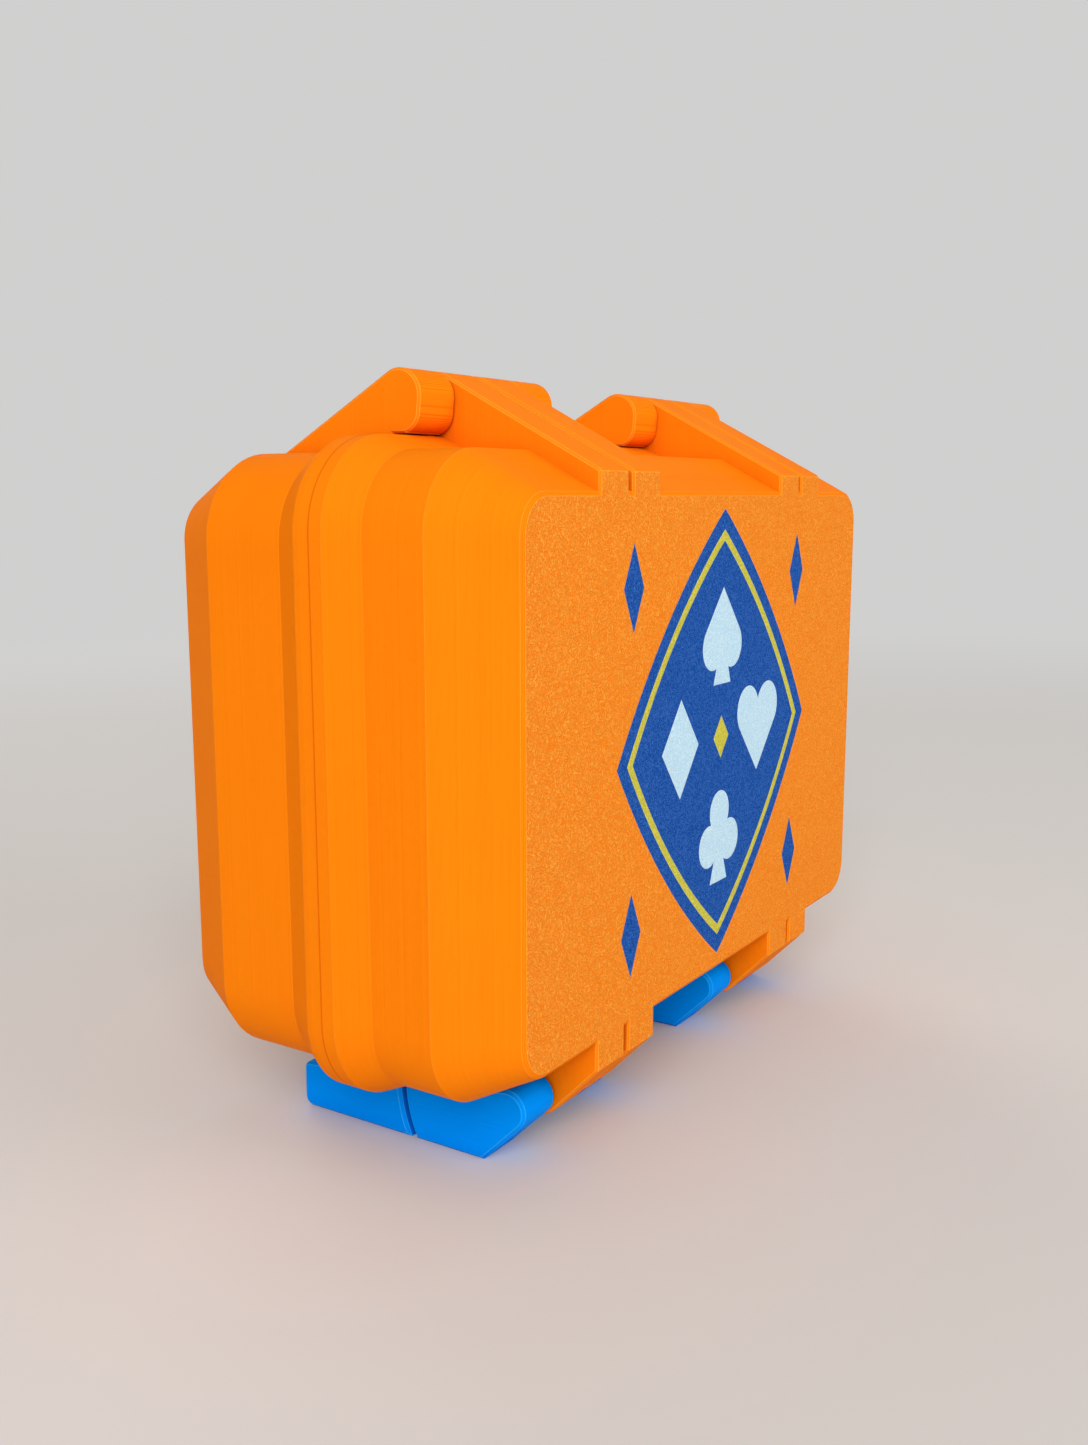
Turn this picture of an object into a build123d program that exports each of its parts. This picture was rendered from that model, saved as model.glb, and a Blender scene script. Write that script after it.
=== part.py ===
from build123d import *
from math import hypot, sqrt
import os

os.makedirs("parts", exist_ok=True)

# Clamshell case for a card game. It stands on its two latches, with the hinge along its top.
# The front half has the flat textured face (towards -Y) with an inlaid emblem. X runs along the
# width, Y from front to back, Z up. The origin is under the middle of the case, where it rests.
# All sizes are millimetres.

# Face and side walls. An outset is how far a section stands outside the face's outline.
face_width = 125.5
face_height = 85.2
face_bevel = 0.45
wall = 2.4

# Front half, from the face back to the seam
front_corner = 6.0
front_outset = 6.4
front_slope_depth = 12.2
front_band_depth = 11.05
front_flare_depth = 5.45
front_rim_depth = 2.4

# Back half, from the seam to its flat end
back_corner = 7.5
back_outset = 6.25
back_rim_depth = 2.9
back_flare_depth = 5.1
back_band_depth = 15.05
back_slope_depth = 11.85

# The rim that both halves share at the seam
rim_outset = 8.7
rim_corner = 14.7

# Height of the face's lower edge over the surface that the case stands on
face_clearance = 20.0

# Soft ring in the front rim, and the ridge of the back rim that presses on it
groove_width = 2.4
groove_depth = 2.4
groove_inset = 1.6
seal_height = 1.1
seal_side_gap = 0.1
ridge_height = 1.0
ridge_side_gap = 0.3

# Ribs and arms along X: a set is arm, two ribs with a slit, arm. It stands this far in from
# the face's side edge.
set_inset = 11.1
rib_width = 8.6
rib_slit = 1.4
arm_width = 9.0
side_gap = 0.3
edge_bevel = 0.35

# Hinge
hinge_setback = 0.75
hinge_height = 8.2
hinge_knuckle = 4.2
front_tower = 3.6
hinge_pin = 1.5
rim_gap = 0.3
arm_toe = 3.4
arm_toe_setback = 0.6

# Latches
latch_axis_back = 11.1
latch_axis_drop = 10.6
rib_knuckle = 4.0
rib_foot = 5.2
latch_boss = 3.4
latch_pin = 1.25
latch_bevel = 0.5
base_reach = 20.4
latch_gap = 1.0
latch_top_gap = 1.2
bar_depth = 4.2
bar_height = 3.6
bar_setback = 6.0
handle_axis_back = 7.7
handle_boss = 3.0
handle_neck = 3.2
handle_floor = 3.0
handle_cheek = 3.2
handle_front_wall = 4.0
handle_end_wall = 3.6
handle_end_height = 7.9
handle_tip_round = 1.6
handle_reach = 42.7

# Strike: the pin under the back half that a handle's claw holds
strike_back = 33.2
strike_pin = 1.25
strike_boss = 3.2
strike_root = 11.0
lug_width = 4.0
claw_width = 8.6
claw_length = 8.0
claw_height = 2.4
claw_clearance = 0.3

# Bores and pins
bore_clearance = 0.05
pin_end_wall = 1.6
pin_end_gap = 0.3

# Inserts
insert_gap = 0.25
insert_floor = 1.6
divider = 1.6
divider_top_gap = 0.4
notch_radius = 16.0
notch_depth = 12.0
token_dividers = 2

# Emblem on the face: a large lozenge with a keyline, four card suits and corner lozenges.
# Sizes within a suit are shares of the suit's own size.
inlay_depth = 0.6
emblem_width = 74.0
emblem_height = 80.0
emblem_bulge = 2.6
keyline_inset = 2.4
keyline_width = 1.3
suit_size = 17.0
suit_spread_x = 15.5
suit_spread_z = 18.0
diamond_share = 0.78
heart_lobe = 0.27
heart_lobe_side = 0.25
heart_lobe_rise = 0.19
spade_share = 0.88
spade_rise = 0.06
club_leaf = 0.225
club_core = 0.16
club_top = 0.26
club_side = 0.24
club_drop = 0.08
stem_half = 0.2
stem_top = 0.05
centre_width = 6.0
centre_height = 7.6
drop_length = 14.0
drop_width = 6.4
drop_spread_x = 32.0
drop_spread_z = 28.0

# Places that follow from the sizes above
front_depth = front_slope_depth + front_band_depth + front_flare_depth + front_rim_depth
back_depth = back_slope_depth + back_band_depth + back_flare_depth + back_rim_depth
front_y = -(front_depth + back_depth) / 2
seam_y = front_y + front_depth
back_y = seam_y + back_depth
face_bottom = face_clearance
face_top = face_bottom + face_height
face_middle = face_bottom + face_height / 2

hinge_y = seam_y - hinge_setback
hinge_z = face_top + front_outset + hinge_height
latch_y = front_y + latch_axis_back
latch_z = face_bottom - latch_axis_drop
handle_y = latch_y + handle_axis_back
handle_z = latch_z
strike_y = latch_y + strike_back
strike_z = latch_z

set_width = 2 * rib_width + rib_slit + 2 * side_gap + 2 * arm_width
set_starts = [set_inset - face_width / 2, face_width / 2 - set_inset - set_width]
rib_starts = [arm_width + side_gap, arm_width + side_gap + rib_width + rib_slit]
arm_starts = [0.0, set_width - arm_width]
tongue_start = arm_width + side_gap
tongue_width = set_width - 2 * tongue_start
sides = ["left", "right"]


def section(y, outset, corner):
    """Rounded rectangle across the case at depth y."""
    plane = Plane(origin=(0, y, face_middle), x_dir=(1, 0, 0), z_dir=(0, -1, 0))
    width = face_width + 2 * outset
    height = face_height + 2 * outset
    return plane * RectangleRounded(width, height, corner)


def stack(stations):
    """Solid through sections (depth, outset, corner radius), straight between them."""
    return loft([section(*station) for station in stations], ruled=True)


def ring(y_start, y_end, outer, inner):
    """Band round the rim between two outsets."""
    outer_corner = rim_corner + outer - rim_outset
    inner_corner = rim_corner + inner - rim_outset
    band = stack([(y_start, outer, outer_corner), (y_end, outer, outer_corner)])
    return band - stack([(y_start, inner, inner_corner), (y_end, inner, inner_corner)])


def side_prism(profile, x_start, width, bevel=0.0):
    """Extrudes a profile drawn in Y and Z along X, with its two end outlines bevelled."""
    prism = extrude(Plane.YZ.offset(x_start) * profile, amount=width)
    if bevel:
        ends = prism.faces().filter_by(Axis.X)
        prism = chamfer(ends.edges(), length=bevel)
    return prism


def tangent_hull(centre, radius, points):
    """Outline drawn tightly round a circle and some points, in Y and Z."""
    circle = Pos(*centre) * Circle(radius)
    outline = Polyline(*points, close=True)
    return make_hull(circle.edges() + outline.edges())


def box_between(low, high):
    """Box from its lowest to its highest corner."""
    size = [high[i] - low[i] for i in range(3)]
    return Pos(*low) * Box(*size, align=(Align.MIN, Align.MIN, Align.MIN))


def rod(centre, radius, x_start, x_end):
    """Round bar along X through a point given in Y and Z."""
    plane = Plane(origin=(x_start, centre[0], centre[1]), z_dir=(1, 0, 0))
    return extrude(plane * Circle(radius), amount=x_end - x_start)


def pin_bore(centre, radius, x_start):
    """Hole for one set's pin: blind at the left end, open at the right."""
    reach = x_start + set_width + 1.0
    return rod(centre, radius + bore_clearance, x_start + pin_end_wall, reach)


def pin(centre, radius, x_start):
    """A set's pin, just short of both ends of its hole."""
    left = x_start + pin_end_wall + pin_end_gap
    return rod(centre, radius, left, x_start + set_width - pin_end_gap)


# Outlines of the two halves, as (depth, outset, corner radius) from the end to the seam
front_slope = front_outset / front_slope_depth
back_slope = back_outset / back_slope_depth
front_band_y = front_y + front_slope_depth
back_band_y = back_y - back_slope_depth
front_band_corner = front_corner + front_outset
back_band_corner = back_corner + back_outset
front_stations = [
    (front_y, -face_bevel, front_corner - face_bevel),
    (front_y + face_bevel, face_bevel * front_slope, front_corner + face_bevel * front_slope),
    (front_band_y, front_outset, front_band_corner),
    (front_band_y + front_band_depth, front_outset, front_band_corner),
    (seam_y - front_rim_depth, rim_outset, rim_corner),
    (seam_y, rim_outset, rim_corner),
]
back_stations = [
    (back_y, -face_bevel, back_corner - face_bevel),
    (back_y - face_bevel, face_bevel * back_slope, back_corner + face_bevel * back_slope),
    (back_band_y, back_outset, back_band_corner),
    (back_band_y - back_band_depth, back_outset, back_band_corner),
    (seam_y + back_rim_depth, rim_outset, rim_corner),
    (seam_y, rim_outset, rim_corner),
]


def front_hollow(gap):
    """Space inside the front half, drawn in from its walls by a gap."""
    inset = wall + gap
    end = front_slope * wall - inset
    return stack([
        (front_y + inset, end, front_corner + end),
        (front_band_y, front_outset - inset, front_band_corner - inset),
        (seam_y, front_outset - inset, front_band_corner - inset),
    ])


def back_hollow(gap):
    """Space inside the back half, drawn in from its walls by a gap."""
    inset = wall + gap
    end = back_slope * wall - inset
    return stack([
        (back_y - inset, end, back_corner + end),
        (back_band_y, back_outset - inset, back_band_corner - inset),
        (seam_y, back_outset - inset, back_band_corner - inset),
    ])


# Rib and arm outlines. Over the other half's rim each is cut back to its own side of the seam.
rib_root = wall / 2
rim_top = face_top + rim_outset
over_rim = rim_top + rim_gap
rim_space_back = Pos(seam_y - side_gap, 0) * Rectangle(
    hinge_height + hinge_knuckle, over_rim, align=(Align.MIN, Align.MIN))
rim_space_front = Pos(seam_y + side_gap, 0) * Rectangle(
    hinge_height + hinge_knuckle, over_rim, align=(Align.MAX, Align.MIN))
top_rib = tangent_hull((hinge_y, hinge_z), hinge_knuckle, [
    (front_y, face_top - rib_root),
    (front_y, face_top + front_tower - edge_bevel),
    (front_y + edge_bevel, face_top + front_tower),
    (seam_y - side_gap, face_top + front_outset - rib_root),
    (front_band_y, face_top + front_outset - rib_root),
]) - rim_space_back
hinge_arm = tangent_hull((hinge_y, hinge_z), hinge_knuckle, [
    (back_y - face_bevel, face_top - rib_root),
    (back_y - face_bevel, face_top),
    (seam_y + side_gap, face_top + back_outset - rib_root),
    (back_band_y, face_top + back_outset - rib_root),
]) - rim_space_front
# Each arm ends in a rounded toe just over the front rim.
toe_y = hinge_y - arm_toe_setback
toe = Pos(toe_y, over_rim + arm_toe) * Circle(arm_toe)
toe_line = Line((toe_y, over_rim), (seam_y + wall, over_rim))
knuckle = Pos(hinge_y, hinge_z) * Circle(hinge_knuckle)
hinge_arm += make_hull(knuckle.edges() + toe.edges() + toe_line.edges())
bottom_rib = tangent_hull((latch_y, latch_z), rib_knuckle, [
    (front_y, face_bottom + rib_root),
    (front_y, face_bottom - rib_foot + edge_bevel),
    (front_y + edge_bevel, face_bottom - rib_foot),
    (latch_y + rib_knuckle, face_bottom - front_outset + rib_root),
])
lug_top = face_bottom - back_outset + rib_root
strike_lug = tangent_hull((strike_y, strike_z), strike_boss, [
    (strike_y - strike_root / 2, lug_top),
    (strike_y + strike_root / 2, lug_top),
])


# Emblem outlines, drawn in X and Z about the middle of the face
def lozenge(width, height, bulge=0.0):
    """Upright lozenge whose four sides may swell outwards."""
    tips = [(width / 2, 0), (0, height / 2), (-width / 2, 0), (0, -height / 2)]
    if not bulge:
        return Polygon(*tips, align=None)
    curves = []
    for first, last in zip(tips, tips[1:] + tips[:1]):
        middle_x = (first[0] + last[0]) / 2
        middle_z = (first[1] + last[1]) / 2
        swell = 1 + bulge / hypot(middle_x, middle_z)
        curves.append(ThreePointArc(first, (middle_x * swell, middle_z * swell), last))
    return make_face(Curve() + curves)


def heart(size):
    """Two drops that share a point."""
    halves = []
    for side in (-1, 1):
        centre = (side * size * heart_lobe_side, size * heart_lobe_rise)
        lobe = Pos(*centre) * Circle(size * heart_lobe)
        spine = Line(centre, (0, -size / 2))
        halves.append(make_hull(lobe.edges() + spine.edges()))
    return halves[0] + halves[1]


def stem(size):
    """Flared foot of a spade or club."""
    half = size * stem_half
    return Polygon((0, size * stem_top), (-half, -size / 2), (half, -size / 2), align=None)


def spade(size):
    """An upturned heart on a stem."""
    leaf = Rot(0, 0, 180) * heart(size * spade_share)
    return Pos(0, size * spade_rise) * leaf + stem(size)


def club(size):
    """Three round leaves on a stem."""
    leaf = Circle(size * club_leaf)
    shape = Pos(0, size * club_top) * leaf + Circle(size * club_core) + stem(size)
    for side in (-1, 1):
        shape += Pos(side * size * club_side, -size * club_drop) * leaf
    return shape


def inlay(sketch):
    """Flush pieces in the face, from outlines about the face's middle."""
    plane = Plane(origin=(0, front_y, face_middle), x_dir=(1, 0, 0), z_dir=(0, -1, 0))
    return extrude(plane * sketch, amount=-inlay_depth)


def emblem_lozenge(inset):
    """The emblem's outline, drawn in all round."""
    share = 1 - inset * 2 * hypot(emblem_width, emblem_height) / (emblem_width * emblem_height)
    return lozenge(emblem_width * share, emblem_height * share, emblem_bulge * share)


def emblem():
    """The emblem's three colours, as outlines that fill one another's gaps."""
    keyline = emblem_lozenge(keyline_inset) - emblem_lozenge(keyline_inset + keyline_width)
    keyline += lozenge(centre_width, centre_height)
    suits = Pos(0, suit_spread_z) * spade(suit_size)
    suits += Pos(suit_spread_x, 0) * heart(suit_size)
    suits += Pos(0, -suit_spread_z) * club(suit_size)
    suits += Pos(-suit_spread_x, 0) * lozenge(suit_size * diamond_share, suit_size)
    field = emblem_lozenge(0) - keyline - suits
    for side_x in (-1, 1):
        for side_z in (-1, 1):
            drop = lozenge(drop_width, drop_length)
            field += Pos(side_x * drop_spread_x, side_z * drop_spread_z) * drop
    return field, keyline, suits


field_sketch, keyline_sketch, suit_sketch = emblem()
badge_field = inlay(field_sketch)
badge_line = inlay(keyline_sketch)
badge_pips = inlay(suit_sketch)

# Front shell
groove_outer = rim_outset - groove_inset
groove_inner = groove_outer - groove_width
front_shell = stack(front_stations)
for x_start in set_starts:
    for rib_start in rib_starts:
        front_shell += side_prism(top_rib, x_start + rib_start, rib_width, edge_bevel)
        front_shell += side_prism(bottom_rib, x_start + rib_start, rib_width, edge_bevel)
front_shell -= front_hollow(0)
front_shell -= ring(seam_y - groove_depth, seam_y, groove_outer, groove_inner)
for x_start in set_starts:
    front_shell -= pin_bore((hinge_y, hinge_z), hinge_pin, x_start)
    front_shell -= pin_bore((latch_y, latch_z), latch_pin, x_start)
front_shell -= badge_field
front_shell -= badge_line
front_shell -= badge_pips

# Back shell
ridge_outer = groove_outer - ridge_side_gap
ridge_inner = groove_inner + ridge_side_gap
lug_starts = [
    set_width / 2 - claw_width / 2 - claw_clearance - lug_width,
    set_width / 2 + claw_width / 2 + claw_clearance,
]
back_shell = stack(back_stations)
for x_start in set_starts:
    for arm_start in arm_starts:
        back_shell += side_prism(hinge_arm, x_start + arm_start, arm_width, edge_bevel)
    for lug_start in lug_starts:
        back_shell += side_prism(strike_lug, x_start + lug_start, lug_width, edge_bevel)
back_shell -= back_hollow(0)
back_shell += ring(seam_y - ridge_height, seam_y, ridge_outer, ridge_inner)
strike_left = lug_starts[0]
strike_right = lug_starts[1] + lug_width
for x_start in set_starts:
    back_shell -= pin_bore((hinge_y, hinge_z), hinge_pin, x_start)
    back_shell -= rod((strike_y, strike_z), strike_pin + bore_clearance,
                      x_start + strike_left - 1, x_start + strike_right + 1)

rim_seal = ring(seam_y - groove_depth, seam_y - groove_depth + seal_height,
                groove_outer - seal_side_gap, groove_inner + seal_side_gap)


# Inserts: a floor that rests on the sloping walls, with dividers up to the seam
def card_bed():
    """Floor of the front half with one divider, so that two card stacks stand side by side."""
    space = front_hollow(insert_gap)
    floor_y = front_band_y
    floor = space & box_between((-face_width, floor_y - insert_floor, 0),
                                (face_width, floor_y, hinge_z))
    rise = space & box_between((-divider / 2, floor_y - insert_floor, 0),
                               (divider / 2, seam_y - divider_top_gap, hinge_z))
    plane = Plane(origin=(-divider, seam_y, face_middle), x_dir=(0, 1, 0), z_dir=(1, 0, 0))
    notch = extrude(plane * (Pos(notch_radius - notch_depth, 0) * Circle(notch_radius)),
                    amount=2 * divider)
    return floor + rise - notch


def token_bed():
    """Floor of the back half with dividers for small pieces and the rule sheet."""
    space = back_hollow(insert_gap)
    floor_y = back_band_y
    bed = space & box_between((-face_width, floor_y, 0),
                              (face_width, floor_y + insert_floor, hinge_z))
    bay = (face_width + 2 * back_outset - 2 * wall) / (token_dividers + 1)
    for index in range(token_dividers):
        middle = bay * (index + 1 - (token_dividers + 1) / 2)
        bed += space & box_between(
            (middle - divider / 2, seam_y + divider_top_gap, 0),
            (middle + divider / 2, floor_y + insert_floor, hinge_z))
    return bed


# Latches
latch_top = face_bottom - rim_outset - latch_top_gap
nose_y = latch_y + latch_z - latch_boss * sqrt(2)
base_cheek = tangent_hull((latch_y, latch_z), latch_boss, [
    (nose_y, 0),
    (latch_y + base_reach, 0),
    (latch_y + base_reach, latch_top),
]) & (Pos(latch_y, latch_z) * Circle(base_reach))


def latch_base(x_start):
    """Blue front piece of one latch."""
    piece = Part()
    for arm_start in arm_starts:
        piece += side_prism(base_cheek, x_start + arm_start, arm_width, latch_bevel)
    bar_y = latch_y + bar_setback
    piece += box_between((x_start + arm_width / 2, bar_y, 0),
                         (x_start + set_width - arm_width / 2, bar_y + bar_depth, bar_height))
    piece -= pin_bore((latch_y, latch_z), latch_pin, x_start)
    piece -= pin_bore((handle_y, handle_z), latch_pin, x_start)
    return piece


def latch_handle(x_start):
    """Blue rear piece of one latch, with its tongue, claw and finger tab."""
    end_y = latch_y + handle_reach
    gap_reach = base_reach + latch_gap
    fall = (latch_top - handle_end_height) / (end_y - latch_y - gap_reach)
    rise_y = latch_y + gap_reach - handle_y
    side = Polygon((handle_y, 0), (end_y, 0), (end_y, handle_end_height),
                   (handle_y, latch_top + fall * rise_y), align=None)
    end_corners = side.vertices().filter_by(lambda corner: abs(corner.X - end_y) < 0.01)
    side = fillet(end_corners, handle_tip_round)
    side -= Pos(latch_y, latch_z) * Circle(gap_reach)
    body = side_prism(side, x_start, set_width, latch_bevel)
    front_wall_y = latch_y + gap_reach + handle_front_wall
    inner_low = x_start + handle_cheek
    inner_high = x_start + set_width - handle_cheek
    body -= box_between((inner_low, front_wall_y, handle_floor),
                        (inner_high, end_y - handle_end_wall, face_bottom))
    tongue = tangent_hull((handle_y, handle_z), handle_boss, [
        (handle_y, handle_z - handle_neck / 2),
        (handle_y, handle_z + handle_neck / 2),
    ])
    piece = body + side_prism(tongue, x_start + tongue_start, tongue_width)
    piece += box_between(
        (x_start + tongue_start, handle_y, handle_z - handle_neck / 2),
        (x_start + tongue_start + tongue_width, front_wall_y, handle_z + handle_neck / 2))
    claw_x = x_start + set_width / 2 - claw_width / 2
    claw = box_between(
        (claw_x, strike_y - claw_length / 2, 0),
        (claw_x + claw_width, strike_y + claw_length / 2, strike_z + claw_height))
    seat = strike_pin + claw_clearance
    claw -= rod((strike_y, strike_z), seat, claw_x - 1, claw_x + claw_width + 1)
    claw -= box_between((claw_x - 1, strike_y - seat, strike_z),
                        (claw_x + claw_width + 1, strike_y + seat, face_bottom))
    piece += claw
    piece -= pin_bore((handle_y, handle_z), latch_pin, x_start)
    return piece


export_step(front_shell, "parts/front_shell.step")
export_step(back_shell, "parts/back_shell.step")
export_step(rim_seal, "parts/rim_seal.step")
export_step(card_bed(), "parts/front_card_bed.step")
export_step(token_bed(), "parts/back_token_bed.step")
export_step(badge_field, "parts/badge_field.step")
export_step(badge_line, "parts/badge_line.step")
export_step(badge_pips, "parts/badge_pips.step")
for side, x_start in zip(sides, set_starts):
    export_step(latch_base(x_start), f"parts/latch_base_{side}.step")
    export_step(latch_handle(x_start), f"parts/latch_handle_{side}.step")
    export_step(pin((hinge_y, hinge_z), hinge_pin, x_start), f"parts/hinge_pin_{side}.step")
    export_step(pin((latch_y, latch_z), latch_pin, x_start), f"parts/latch_base_pin_{side}.step")
    export_step(pin((handle_y, handle_z), latch_pin, x_start),
                f"parts/latch_handle_pin_{side}.step")
    export_step(rod((strike_y, strike_z), strike_pin,
                    x_start + strike_left + pin_end_gap, x_start + strike_right - pin_end_gap),
                f"parts/strike_pin_{side}.step")
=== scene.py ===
"""Card game case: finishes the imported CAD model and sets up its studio.

The file is laid out as an add-on. Run as a script, it registers its classes and calls each
operator once, in order. All sizes are metres, in the CAD model's own frame.
"""
import math
from types import SimpleNamespace

import bmesh
import bpy
from bpy.props import FloatProperty, FloatVectorProperty, IntProperty, PointerProperty
from mathutils import Matrix, Vector


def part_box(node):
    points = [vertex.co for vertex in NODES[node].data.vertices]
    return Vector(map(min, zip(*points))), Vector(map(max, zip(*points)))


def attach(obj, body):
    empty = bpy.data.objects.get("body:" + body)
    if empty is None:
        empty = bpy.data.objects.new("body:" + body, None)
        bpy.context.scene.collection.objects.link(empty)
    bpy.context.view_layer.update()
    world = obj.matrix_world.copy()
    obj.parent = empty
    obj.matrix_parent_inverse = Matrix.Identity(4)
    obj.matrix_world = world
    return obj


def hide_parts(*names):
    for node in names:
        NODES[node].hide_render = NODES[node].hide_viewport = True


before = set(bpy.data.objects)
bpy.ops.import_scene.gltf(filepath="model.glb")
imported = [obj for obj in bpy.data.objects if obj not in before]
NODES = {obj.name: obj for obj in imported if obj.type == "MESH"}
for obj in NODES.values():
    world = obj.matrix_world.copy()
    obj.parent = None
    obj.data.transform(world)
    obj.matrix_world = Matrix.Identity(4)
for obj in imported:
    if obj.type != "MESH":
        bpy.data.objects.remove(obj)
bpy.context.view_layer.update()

bl_info = {
    "name": "Card Game Case",
    "version": (1, 0, 0),
    "blender": (4, 5, 0),
    "location": "View3D > Sidebar > Card Case",
    "description": "Finishes a hinged card game case and sets up its studio",
    "category": "Object",
}

MM = 0.001
SIDES = ("left", "right")
PINS = ("hinge_pin", "latch_base_pin", "latch_handle_pin", "strike_pin")

# The model's axes: across, front to back, and up
X, Y, Z = range(3)

# Samples of the shader nodes that look round for edges and corners
LOOK_ROUND = 6

# Sizes of the two soft changes of shade in the plastic: bands of layers, and clouds
BAND_WIDTH = 3 * MM
CLOUD_SIZE = 25 * MM

# The lamps' names, widths and places, in metres. Their levels are settings of the stage.
LAMPS = (
    ("key", 0.9, (-1.1, -0.75, 0.75)),
    ("top", 0.8, (0.0, -0.1, 1.3)),
    ("fill", 0.9, (0.3, -1.3, 0.45)),
    ("rear", 0.9, (0.8, 1.2, 0.45)),
)
LAMP_TARGET = Vector((0, 0, 0.06))

# The camera's place in metres, and its azimuth, elevation and roll in degrees
CAMERA_PLACE = Vector((-0.2179, -0.1369, 0.1047))
CAMERA_TURNS = (-57.03, 9.38, -0.05)


# Sizes and colours that a user would change

def colour(name, value, about):
    """A linear colour setting."""
    return FloatVectorProperty(name=name, description=about, subtype="COLOR", size=3,
                               default=value, min=0.0, max=1.0)


def length(name, value, about):
    """A length setting, in metres."""
    return FloatProperty(name=name, description=about, default=value, min=0.0,
                         unit="LENGTH", subtype="DISTANCE", precision=5)


def factor(name, value, about):
    """A setting from 0 to 1."""
    return FloatProperty(name=name, description=about, default=value, min=0.0, max=1.0,
                         subtype="FACTOR")


class PlasticSettings(bpy.types.PropertyGroup):
    """Colours and finish of the printed plastic"""
    shell: colour("Shell", (0.96, 0.238, 0.004), "Orange of the two halves")
    insert: colour("Inserts", (0.9, 0.18, 0.004), "Orange of the beds inside")
    latch: colour("Latches", (0.0, 0.3, 1.0), "Blue of the latches")
    badge_blue: colour("Emblem blue", (0.0, 0.072, 0.37), "Field of the emblem")
    badge_yellow: colour("Emblem yellow", (0.6, 0.55, 0.05), "Keyline of the emblem")
    badge_white: colour("Emblem white", (0.53, 0.8, 0.99), "Suits of the emblem")
    smooth: factor("Smooth roughness", 0.46, "Roughness of the smooth walls")
    pebbled: factor("Pebbled roughness", 0.55, "Roughness of the faces that lay on the plate")
    gloss: factor("Gloss", 0.006, "Strength of the plastic's own reflection")
    layer_pitch: length("Layer pitch", 0.14 * MM, "Thickness of one printed layer")
    layer_depth: length("Layer depth", 0.035 * MM, "How deep the lines between layers are")
    pebble_size: length("Pebble size", 0.4 * MM, "Width of one pebble of the plate's texture")
    pebble_depth: length("Pebble depth", 0.1 * MM, "Height of the plate's texture")
    edge_round: length("Edge rounding", 0.32 * MM, "How round the printed edges look")
    cavity: length("Cavity", 4.5 * MM, "How far from an inside corner its shade reaches")
    seam: FloatProperty(name="Seam", default=-1.9 * MM, unit="LENGTH", precision=5,
                        description="Place of the joint between the halves, front to back")


class SealSettings(bpy.types.PropertyGroup):
    """Shape and colour of the soft ring in the front rim"""
    tint: colour("Seal", (0.028, 0.028, 0.03), "Colour of the soft ring")
    width: length("Width", 2.2 * MM, "Width of the ring's band")
    corner: length("Corner", 13.0 * MM, "Radius of the ring's outer corners")
    rounding: length("Rounding", 0.9 * MM, "Radius of the ring's rounded crown")
    roughness: factor("Seal roughness", 0.6, "Roughness of the soft ring")
    crown_steps: IntProperty(name="Crown steps", default=5, min=2, max=12,
                             description="Steps in the ring's rounded crown")
    corner_steps: IntProperty(name="Corner steps", default=14, min=4, max=32,
                              description="Steps in each corner of the ring")


class PinSettings(bpy.types.PropertyGroup):
    """Colour and finish of the steel pins"""
    tint: colour("Steel", (0.62, 0.62, 0.64), "Colour of the pins")
    roughness: factor("Steel roughness", 0.28, "Roughness of the pins")


class StageSettings(bpy.types.PropertyGroup):
    """Floor, backdrop, lamps and lens"""
    floor: colour("Floor", (0.66, 0.655, 0.645), "Colour of the floor")
    backdrop: colour("Backdrop", (0.63, 0.63, 0.625), "Background that the camera sees")
    floor_half: length("Floor half width", 4.0, "Half the width of the floor")
    floor_fade: length("Floor fade", 0.9, "Distance at which the floor becomes the backdrop")
    sky: colour("Sky", (1.0, 0.91, 0.83), "Colour of the even light from all round")
    world: FloatProperty(name="World light", default=0.44, min=0.0,
                         description="Strength of the even light from all round")
    key: FloatProperty(name="Key", default=0.79, min=0.0,
                       description="Light on a white face turned to the front left lamp")
    top: FloatProperty(name="Top", default=0.05, min=0.0,
                       description="Light on a white face turned to the overhead lamp")
    fill: FloatProperty(name="Fill", default=0.3, min=0.0,
                        description="Light on a white face turned to the front right lamp")
    rear: FloatProperty(name="Rear", default=0.4, min=0.0,
                        description="Light on a white face turned to the rear right lamp")
    lens: FloatProperty(name="Lens", default=34.106, min=1.0, unit="CAMERA",
                        description="Focal length on a 36 mm sensor")


SETTINGS = (
    ("case_plastic", PlasticSettings),
    ("case_seal", SealSettings),
    ("case_pins", PinSettings),
    ("case_stage", StageSettings),
)


# Materials

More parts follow.
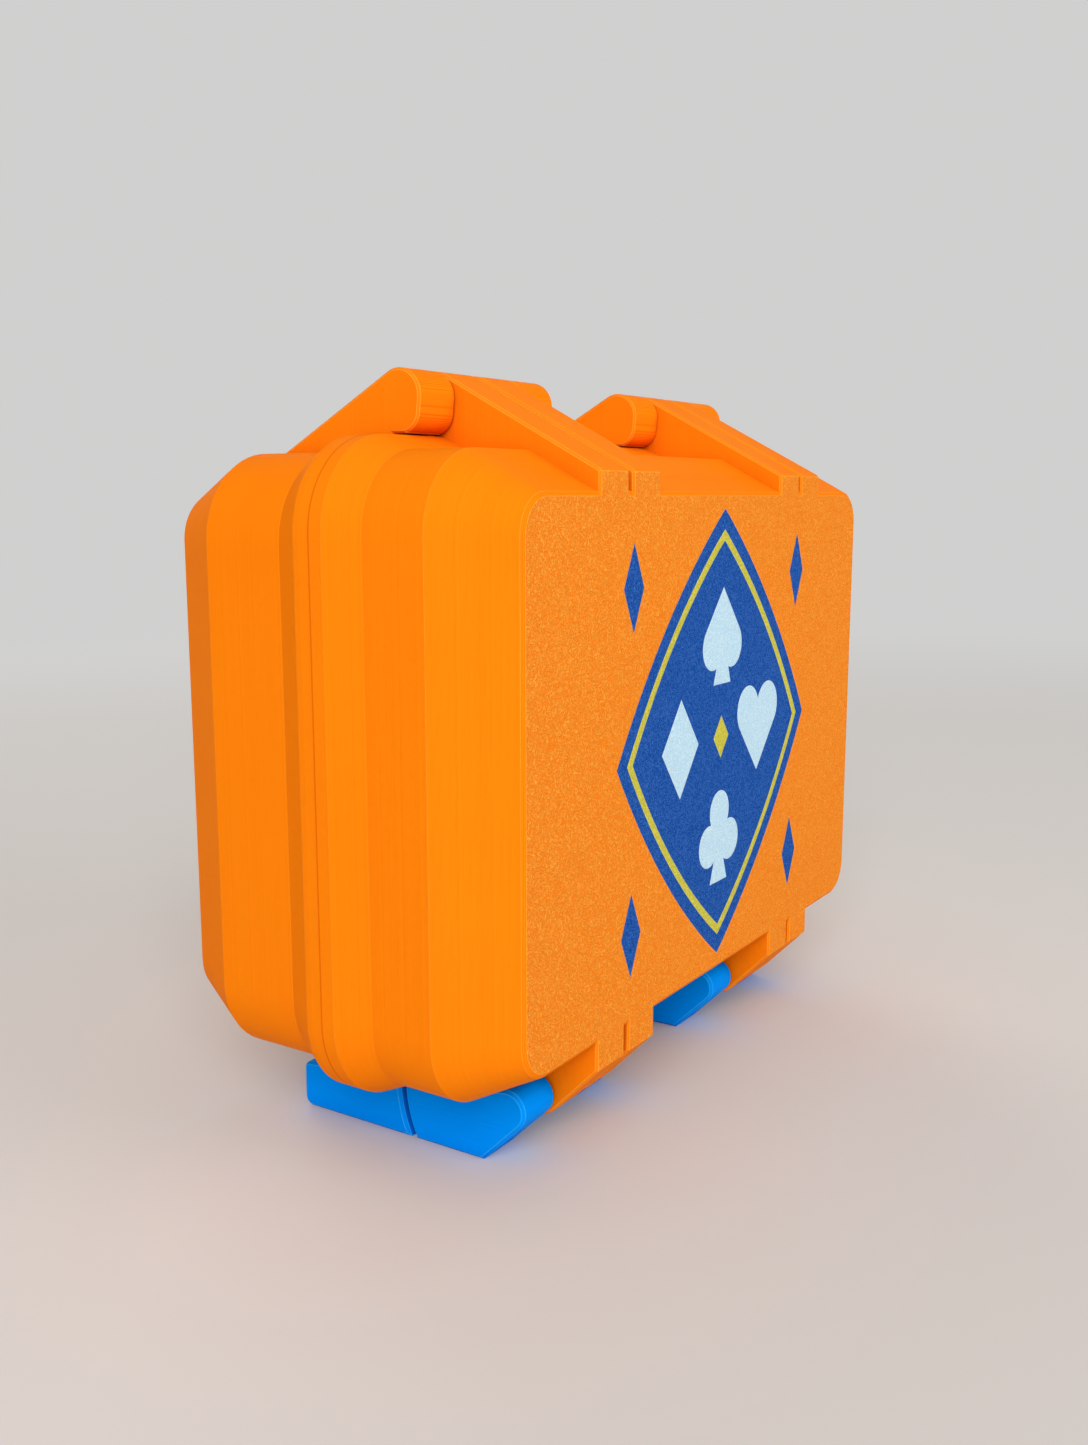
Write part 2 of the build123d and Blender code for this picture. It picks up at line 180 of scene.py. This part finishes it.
class Wire:
    """A shader value that takes arithmetic: each operation adds one Math node."""

    def __init__(self, finish, socket):
        self.finish = finish
        self.socket = socket

    def math(self, operation, *others, clamp=False):
        return self.finish.add("ShaderNodeMath", {"operation": operation, "use_clamp": clamp},
                               {i: v for i, v in enumerate((self, *others))})

    def reflected(self, operation, other):
        """The operation with this value on its right."""
        return self.finish.add("ShaderNodeMath", {"operation": operation},
                               {0: other, 1: self})

    def __add__(self, other):
        return self.math("ADD", other)

    def __sub__(self, other):
        return self.math("SUBTRACT", other)

    def __mul__(self, other):
        return self.math("MULTIPLY", other)

    def __truediv__(self, other):
        return self.math("DIVIDE", other)

    def __rsub__(self, other):
        return self.reflected("SUBTRACT", other)

    def __rtruediv__(self, other):
        return self.reflected("DIVIDE", other)

    __radd__ = __add__
    __rmul__ = __mul__

    def __abs__(self):
        return self.math("ABSOLUTE")

    def clamped(self):
        """The value, held between 0 and 1."""
        return self.math("ADD", 0.0, clamp=True)

    def centred(self):
        """Noise between 0 and 1, moved to lie about 0."""
        return self - 0.5

    def above(self, edge, width):
        """0 below the edge, 1 above it, smooth over the width."""
        step = {"interpolation_type": "SMOOTHSTEP"}
        return self.finish.add("ShaderNodeMapRange", step, {
            "Value": self, "From Min": edge - width / 2, "From Max": edge + width / 2})

    def below(self, edge, width):
        """1 below the edge, 0 above it, smooth over the width."""
        return 1.0 - self.above(edge, width)


class Finish:
    """The nodes of a new material, or of the world."""

    def __init__(self, name, world=None, output="ShaderNodeOutputMaterial"):
        self.owner = world or bpy.data.materials.new(name)
        self.owner.use_nodes = True
        self.tree = self.owner.node_tree
        self.tree.nodes.clear()
        self.output = self.tree.nodes.new(output)

    def add(self, kind, settings=None, sockets=None, output=0):
        """Adds a node: its settings first, then its sockets' values or links."""
        node = self.tree.nodes.new(kind)
        for key, value in (settings or {}).items():
            setattr(node, key, value)
        for key, value in (sockets or {}).items():
            if isinstance(value, Wire):
                self.tree.links.new(value.socket, node.inputs[key])
            else:
                if node.inputs[key].type == "RGBA":
                    value = (*tuple(value)[:3], 1.0)
                node.inputs[key].default_value = value
        return Wire(self, node.outputs[output])

    def place(self):
        """The place and the normal in the object's own axes, each as x, y, z wires."""
        return self.axes("Object"), self.axes("Normal")

    def axes(self, name):
        """The x, y, z wires of one of the texture coordinates."""
        vector = self.coordinates(name)
        return [self.add("ShaderNodeSeparateXYZ", sockets={0: vector}, output=i)
                for i in range(3)]

    def coordinates(self, name="Object"):
        """One of the texture coordinates, as a vector."""
        return self.add("ShaderNodeTexCoord", output=name)

    def noise(self, vector, size, detail=2.0, roughness=0.5, distortion=0.0):
        """Noise between 0 and 1, with blobs of about the given size."""
        return self.add("ShaderNodeTexNoise", {"noise_dimensions": "3D"}, {
            "Vector": vector, "Scale": 1.0 / size, "Detail": detail,
            "Roughness": roughness, "Distortion": distortion})

    def streaks(self, value, size, detail=3.0):
        """Noise that changes along one value only, like printed layers."""
        return self.add("ShaderNodeTexNoise", {"noise_dimensions": "1D"}, {
            "W": value, "Scale": 1.0 / size, "Detail": detail, "Roughness": 0.6})

    def blend(self, share, first, second):
        """Colour between two others."""
        return self.add("ShaderNodeMix", {"data_type": "RGBA"},
                        {0: share, 6: first, 7: second}, output=2)

    def bump(self, height, distance, normal=None):
        """A normal that follows a height, on top of another normal if one is given."""
        sockets = {"Height": height, "Distance": distance}
        if normal:
            sockets["Normal"] = normal
        return self.add("ShaderNodeBump", sockets=sockets)

    def background_rays(self):
        """1 for the rays that see the backdrop instead of the studio's own light."""
        rays = [self.add("ShaderNodeLightPath", output=name)
                for name in ("Is Camera Ray", "Is Glossy Ray", "Is Transmission Ray")]
        return (rays[0] + rays[1] + rays[2]).clamped()

    def end(self, shader):
        """Links the last shader to the output."""
        self.tree.links.new(shader.socket, self.output.inputs["Surface"])
        return self.owner

    def close(self, **sockets):
        """Ends the material in one Principled shader."""
        named = {key.replace("_", " "): value for key, value in sockets.items()}
        return self.end(self.add("ShaderNodeBsdfPrincipled", sockets=named))


def pebbles(finish, vector, size):
    """The plate's texture, about 0 in its dimples and 1 on its short worm-like ridges."""
    ridge_slope = 9.0
    ridge_height = 0.75
    grain_height = 1.6
    middle = 0.1
    worms = finish.noise(vector, size, detail=1.0, roughness=0.45, distortion=0.9)
    ridge = (1.0 - abs(worms.centred()) * ridge_slope).clamped()
    grain = finish.noise(vector, size / 2, detail=1.0)
    return (ridge * ridge_height + grain.centred() * grain_height + middle).clamped()


def layer_joints(finish, along, pitch):
    """The grooves between printed layers, 1 at the bottom of a deep one."""
    sharpness = 5.0
    least_depth = 0.25
    patch_layers = 3.1
    layer = (along / pitch).math("FRACT")
    groove = (abs(layer.centred()) * 2.0).math("POWER", sharpness)
    uneven = finish.streaks(along, pitch * patch_layers, detail=1.0)
    return groove * (least_depth + uneven)


def open_air(finish, distance, own_piece):
    """1 in the open, less in a corner, of all the pieces or of this piece alone."""
    return finish.add("ShaderNodeAmbientOcclusion",
                      {"only_local": own_piece, "samples": LOOK_ROUND},
                      {"Distance": distance}, output="AO")


def true_normal(finish):
    """The face's normal, without any softening."""
    return finish.add("ShaderNodeNewGeometry", output="True Normal")


def painted_edge_highlights(finish, soft):
    """1 on an outward edge, fading over the rounding that the soft normal has: the mask of the
    edges' painted highlight.
    """
    edge_reach = 0.8 * MM
    agreement = finish.add("ShaderNodeVectorMath", {"operation": "DOT_PRODUCT"},
                           {0: soft, 1: true_normal(finish)}, output="Value")
    turned = (1.0 - agreement).above(0.045, 0.06)
    outward = open_air(finish, edge_reach, True).above(0.84, 0.16)
    return turned * outward


def cavity_shade(finish, distance):
    """Near 1 deep in a corner between pieces, 0 in the open: the mask of the painted shade in
    corners.
    """
    return open_air(finish, distance, False).below(0.5, 0.7)


def on_the_plate(along, level, plate):
    """1 on the flat face that was printed on the plate."""
    plate_reach = 0.5 * MM
    flat = level.above(0.96, 0.05)
    near = abs(along - plate).below(plate_reach, 0.2 * MM)
    return flat * near


def beside_seam(place, distance):
    """1 beside the joint between the halves, inside the reach of their rims."""
    seam_reach = 0.4 * MM
    rim_margin = 2 * MM
    low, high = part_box("rim_seal")
    beside = distance.below(seam_reach, 0.3 * MM)
    for across in (X, Z):
        middle = (low[across] + high[across]) / 2
        reach = (high[across] - low[across]) / 2 + rim_margin
        beside = beside * abs(place[across] - middle).below(reach, 0.2 * MM)
    return beside


def shades(tint):
    """One plastic's other colours, named for what they mark; the corner, gap and dimple
    colours are painted shade, the ridge and edge colours painted highlights.
    """
    return SimpleNamespace(
        low=deeper(tint, 0.6),
        high=paler(tint, 0.4),
        groove=darker(deeper(tint, 0.5), 0.6),
        dimple_shade=darker(deeper(tint, 0.76), 0.93),
        ridge=paler(tint, 0.9),
        corner=darker(deeper(tint, 0.5), 0.7),
        edge_highlight_tint=paler(tint, 0.9),
        gap=darker(deeper(tint, 0.3), 0.8),
        sheen=paler(tint, 0.3),
    )


def printed(name, tint, layer_axis, plate=None, seam=None):
    """Printed plastic. Layers are stacked along one axis, and a face on the plate is pebbled.

    plate and seam are places along the layer axis, or None where the piece has none.
    """
    look = bpy.context.scene.case_plastic
    shade = shades(tint)
    finish = Finish(name)
    place, facing = finish.place()
    vector = finish.coordinates()
    along = place[layer_axis]
    level = abs(facing[layer_axis])
    soft = finish.add("ShaderNodeBevel", {"samples": LOOK_ROUND}, {"Radius": look.edge_round})
    joints = layer_joints(finish, along, look.layer_pitch)
    bands = finish.streaks(along, BAND_WIDTH).centred()
    clouds = finish.noise(vector, CLOUD_SIZE).centred()
    height = joints * -look.layer_depth
    roughness = look.smooth + joints * 0.15 + clouds * 0.1

    # The layers' joints, the bands and the clouds shade the tint. The joints show most on
    # walls that lean, where the layers are steps.
    depth = joints * 0.8 + bands * 0.35 + clouds * 0.4 + 0.1
    tone = finish.blend(depth.clamped(), tint, shade.low)
    tone = finish.blend((depth * -1.0).clamped(), tone, shade.high)
    stepped = level.above(0.6, 0.6) * level.below(0.996, 0.004)
    tone = finish.blend((joints * stepped).clamped(), tone, shade.groove)

    if plate is not None:
        plated = on_the_plate(along, level, plate)
        texture = pebbles(finish, vector, look.pebble_size)
        height = height + plated * (texture * look.pebble_depth - height)
        roughness = roughness + plated * (look.pebbled - roughness)
        # Painted light: the pebbles' ridges get a painted highlight and their dimples painted
        # shade, on top of the bump.
        tone = finish.blend(plated, tone, finish.blend(texture, shade.dimple_shade, shade.ridge))

    # Painted shade: the tint darkens in corners and creases between pieces.
    tone = finish.blend(cavity_shade(finish, look.cavity) * 0.7, tone, shade.corner)
    # Painted highlight: outward edges turn paler, as if they caught the light.
    edge_highlight = painted_edge_highlights(finish, soft)
    # Painted shade: a dark hairline along the joint between the halves, where the gap would be
    # in shadow. Beside it the edge highlight and the rounded normal are left off.
    if seam is not None:
        half_gap = 0.13 * MM
        distance = abs(along - seam)
        beside = beside_seam(place, distance)
        gap = beside * distance.below(half_gap, 0.12 * MM)
        tone = finish.blend(gap * 0.7, tone, shade.gap)
        edge_highlight = edge_highlight * (1.0 - beside)
        soft = finish.add("ShaderNodeMix", {"data_type": "VECTOR"},
                          {0: beside, 4: soft, 5: true_normal(finish)}, output=1)
    tone = finish.blend(edge_highlight, tone, shade.edge_highlight_tint)
    return finish.close(
        Base_Color=tone, Roughness=roughness, Specular_IOR_Level=look.gloss,
        Specular_Tint=shade.sheen, Normal=finish.bump(height, 1.0, soft))


def dress(names, material):
    """Gives CAD nodes one material."""
    for name in names:
        slots = NODES[name].data.materials
        slots.clear()
        slots.append(material)


def deeper(tint, share):
    """The same colour, darker and fuller."""
    return tuple(channel * (share + (1 - share) * channel) for channel in tint)


def darker(tint, share):
    """The same colour with less light."""
    return tuple(channel * share for channel in tint)


def paler(tint, share):
    """The same colour, part of the way to white, with its weak channels held back."""
    least = 0.06
    return tuple(channel + (1 - channel) * share * (least + (1 - least) * channel)
                 for channel in tint)


# Modelling helpers

def deselect():
    """Leaves edit mode and selects nothing."""
    if bpy.context.object and bpy.context.object.mode != "OBJECT":
        bpy.ops.object.mode_set(mode="OBJECT")
    bpy.ops.object.select_all(action="DESELECT")


def take_up(piece):
    """Makes a piece the only selected and the active object."""
    deselect()
    piece.select_set(True)
    bpy.context.view_layer.objects.active = piece


def settle(piece):
    """Puts a piece's place, turn and size into its mesh."""
    take_up(piece)
    bpy.ops.object.transform_apply(location=True, rotation=True, scale=True)


class CASE_OT_shells(bpy.types.Operator):
    """Finish the two orange halves"""
    bl_idname = "case.shells"
    bl_label = "Shells"

    def execute(self, context):
        look = context.scene.case_plastic
        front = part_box("front_shell")[0].y
        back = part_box("back_shell")[1].y
        dress(["front_shell"], printed("orange_front", look.shell, Y, front, look.seam))
        dress(["back_shell"], printed("orange_back", look.shell, Y, back, look.seam))
        return {"FINISHED"}


class CASE_OT_emblem(bpy.types.Operator):
    """Finish the emblem's inlays"""
    bl_idname = "case.emblem"
    bl_label = "Emblem"

    def execute(self, context):
        look = context.scene.case_plastic
        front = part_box("front_shell")[0].y
        for node, tint in (("badge_field", look.badge_blue), ("badge_line", look.badge_yellow),
                           ("badge_pips", look.badge_white)):
            dress([node], printed(node, tint, Y, front))
        return {"FINISHED"}


class CASE_OT_inserts(bpy.types.Operator):
    """Finish the beds inside the halves"""
    bl_idname = "case.inserts"
    bl_label = "Inserts"

    def execute(self, context):
        look = context.scene.case_plastic
        dress(["front_card_bed", "back_token_bed"], printed("orange_insert", look.insert, Y))
        return {"FINISHED"}


class CASE_OT_latches(bpy.types.Operator):
    """Finish the blue latches"""
    bl_idname = "case.latches"
    bl_label = "Latches"

    def execute(self, context):
        look = context.scene.case_plastic
        names = [f"latch_{part}_{side}" for part in ("base", "handle") for side in SIDES]
        dress(names, printed("latch_blue", look.latch, Z))
        return {"FINISHED"}


class CASE_OT_pins(bpy.types.Operator):
    """Finish the steel pins"""
    bl_idname = "case.pins"
    bl_label = "Pins"

    def execute(self, context):
        look = context.scene.case_pins
        finish = Finish("drawn_steel")
        along = finish.axes("Object")[X]
        draw = finish.noise(finish.coordinates(), 0.35 * MM, detail=3.0)
        rings = finish.streaks(along, 1.5 * MM)
        tone = finish.blend(draw * 0.6 + rings * 0.4, look.tint, deeper(look.tint, 0.75))
        steel = finish.close(
            Base_Color=tone, Metallic=1.0, Roughness=look.roughness + draw.centred() * 0.2,
            Normal=finish.bump(draw, 0.004 * MM))
        dress([f"{pin}_{side}" for pin in PINS for side in SIDES], steel)
        return {"FINISHED"}


class CASE_OT_seal(bpy.types.Operator):
    """Model the soft ring in the front rim, with a rounded crown"""
    bl_idname = "case.seal"
    bl_label = "Seal"

    # Vertices closer than same_place are one. Edges that turn more than sharp_turn are the
    # ring's corners, and those that turn less than smooth_turn are shaded smooth.
    same_place = 0.005 * MM
    sharp_turn = math.radians(57)
    smooth_turn = math.radians(50)

    def execute(self, context):
        look = context.scene.case_seal
        low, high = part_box("rim_seal")
        middle, size = (low + high) / 2, high - low
        deselect()
        bpy.ops.mesh.primitive_plane_add(size=1, location=(middle.x, low.y, middle.z),
                                         rotation=(math.radians(90), 0, 0))
        seal = context.object
        seal.name = seal.data.name = "seal_bead"
        seal.scale = (size.x, size.z, 1)
        settle(seal)
        bpy.ops.object.mode_set(mode="EDIT")
        bpy.ops.mesh.select_all(action="SELECT")
        bpy.ops.mesh.bevel(offset=look.corner, offset_type="OFFSET", affect="VERTICES",
                           segments=look.corner_steps, profile=0.5)
        bpy.ops.mesh.select_all(action="SELECT")
        bpy.ops.mesh.inset(thickness=look.width, depth=0)
        bpy.ops.mesh.delete(type="FACE")
        bpy.ops.mesh.select_all(action="SELECT")
        bpy.ops.mesh.extrude_region_move(TRANSFORM_OT_translate={"value": (0, size.y, 0)})
        bpy.ops.mesh.select_all(action="DESELECT")
        self.select_crown(seal, high.y)
        bpy.ops.mesh.bevel(offset=look.rounding, segments=look.crown_steps, profile=0.5,
                           affect="EDGES", clamp_overlap=True)
        bpy.ops.mesh.select_all(action="SELECT")
        bpy.ops.mesh.remove_doubles(threshold=self.same_place)
        bpy.ops.mesh.normals_make_consistent(inside=False)
        bpy.ops.object.mode_set(mode="OBJECT")
        bpy.ops.object.shade_smooth_by_angle(angle=self.smooth_turn)
        seal.data.materials.append(self.finish(look))
        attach(seal, "front_half")
        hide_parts("rim_seal")
        return {"FINISHED"}

    def select_crown(self, seal, top):
        """Selects the ring's two sharp edges that face the other half."""
        mesh = bmesh.from_edit_mesh(seal.data)
        for edge in mesh.edges:
            level = all(abs(vertex.co.y - top) < 2 * self.same_place for vertex in edge.verts)
            if level and edge.calc_face_angle(0) > self.sharp_turn:
                edge.select = True
        bmesh.update_edit_mesh(seal.data)

    def finish(self, look):
        """Soft black rubber with a fine grain and a little dust."""
        finish = Finish("soft_black")
        vector = finish.coordinates()
        grain = finish.noise(vector, 0.3 * MM)
        dust = finish.noise(vector, 6 * MM, detail=4.0)
        dusty = tuple(channel * 1.8 for channel in look.tint)
        return finish.close(
            Base_Color=finish.blend(dust, look.tint, dusty),
            Roughness=look.roughness + grain.centred() * 0.2,
            Normal=finish.bump(grain, 0.02 * MM))


class CASE_OT_stage(bpy.types.Operator):
    """Set up the floor, the lamps, the world and the camera"""
    bl_idname = "case.stage"
    bl_label = "Stage"

    def execute(self, context):
        look = context.scene.case_stage
        context.scene.view_settings.view_transform = "Standard"
        self.floor(look)
        self.world(context, look)
        for name, width, place in LAMPS:
            lamp = self.lamp(name, getattr(look, name), width, Vector(place))
            lamp.visible_glossy = name != "rear"
        self.camera(context, look)
        return {"FINISHED"}

    def floor(self, look):
        """A wide pale floor that turns into the backdrop far out."""
        deselect()
        bpy.ops.mesh.primitive_plane_add(size=2 * look.floor_half, location=(0, 0, 0))
        floor = bpy.context.object
        floor.name = floor.data.name = "floor"
        finish = Finish("pale_floor")
        vector = finish.coordinates()
        cloud = finish.noise(vector, 0.5)
        tone = finish.blend(cloud, look.floor, deeper(look.floor, 0.97))
        near = finish.add("ShaderNodeBsdfDiffuse", sockets={"Color": tone})
        far = finish.add("ShaderNodeEmission", sockets={"Color": look.backdrop})
        distance = finish.add("ShaderNodeVectorMath", {"operation": "LENGTH"}, {0: vector},
                              output=1)
        fade_middle, fade_width = look.floor_fade * 0.6, look.floor_fade * 0.8
        share = distance.above(fade_middle, fade_width)
        finish.end(finish.add("ShaderNodeMixShader", sockets={
            0: share * finish.background_rays(), 1: near, 2: far}))
        floor.data.materials.append(finish.owner)

    def world(self, context, look):
        """Even light from all round, and a plain backdrop where the camera sees it."""
        context.scene.world = bpy.data.worlds.new("studio")
        finish = Finish("studio", context.scene.world, "ShaderNodeOutputWorld")
        even = finish.add("ShaderNodeBackground",
                          sockets={"Color": look.sky, "Strength": look.world})
        backdrop = finish.add("ShaderNodeBackground", sockets={"Color": look.backdrop})
        finish.end(finish.add("ShaderNodeMixShader", sockets={
            0: finish.background_rays(), 1: even, 2: backdrop}))

    def lamp(self, name, level, width, place):
        """A square lamp whose power gives the level on a white face turned to it."""
        way = LAMP_TARGET - place
        data = bpy.data.lights.new(name, "AREA")
        data.shape = "SQUARE"
        data.size = width
        data.energy = level * math.pi ** 2 * way.length_squared
        lamp = bpy.data.objects.new(name, data)
        lamp.location = place
        lamp.rotation_mode = "QUATERNION"
        lamp.rotation_quaternion = way.to_track_quat("-Z", "Y")
        bpy.context.scene.collection.objects.link(lamp)
        return lamp

    def camera(self, context, look):
        """The camera, turned by its azimuth, elevation and roll."""
        azimuth, elevation, roll = map(math.radians, CAMERA_TURNS)
        back = Vector((math.sin(azimuth) * math.cos(elevation),
                       -math.cos(azimuth) * math.cos(elevation), math.sin(elevation)))
        right = Vector((0, 0, 1)).cross(back).normalized()
        up = back.cross(right)
        side = right * math.cos(roll) + up * math.sin(roll)
        data = bpy.data.cameras.new("camera")
        data.lens = look.lens
        data.sensor_width = 36.0
        data.sensor_fit = "AUTO"
        data.clip_start = 0.01
        camera = bpy.data.objects.new("camera", data)
        axes = Matrix((side, back.cross(side), back)).transposed()
        camera.matrix_world = Matrix.Translation(CAMERA_PLACE) @ axes.to_4x4()
        context.scene.collection.objects.link(camera)
        context.scene.camera = camera


OPERATORS = (
    CASE_OT_stage, CASE_OT_shells, CASE_OT_emblem, CASE_OT_inserts, CASE_OT_latches,
    CASE_OT_pins, CASE_OT_seal,
)


class CASE_PT_panel(bpy.types.Panel):
    """Lists the case's settings and operators"""
    bl_idname = "CASE_PT_panel"
    bl_label = "Card Game Case"
    bl_space_type = "VIEW_3D"
    bl_region_type = "UI"
    bl_category = "Card Case"

    def draw(self, context):
        layout = self.layout
        for operator in OPERATORS:
            layout.operator(operator.bl_idname)
        for name, group in SETTINGS:
            box = layout.box()
            for key in group.__annotations__:
                box.prop(getattr(context.scene, name), key)


CLASSES = tuple(group for _, group in SETTINGS) + OPERATORS + (CASE_PT_panel,)


def register():
    """Adds the classes and puts their settings on the scene."""
    for item in CLASSES:
        bpy.utils.register_class(item)
    for name, group in SETTINGS:
        setattr(bpy.types.Scene, name, PointerProperty(type=group))


def unregister():
    """Takes the settings and the classes away again."""
    for name, _ in SETTINGS:
        delattr(bpy.types.Scene, name)
    for item in reversed(CLASSES):
        bpy.utils.unregister_class(item)


def main():
    """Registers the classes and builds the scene."""
    register()
    for operator in OPERATORS:
        _, name = operator.bl_idname.split(".")
        getattr(bpy.ops.case, name)()


if __name__ == "__main__":
    main()
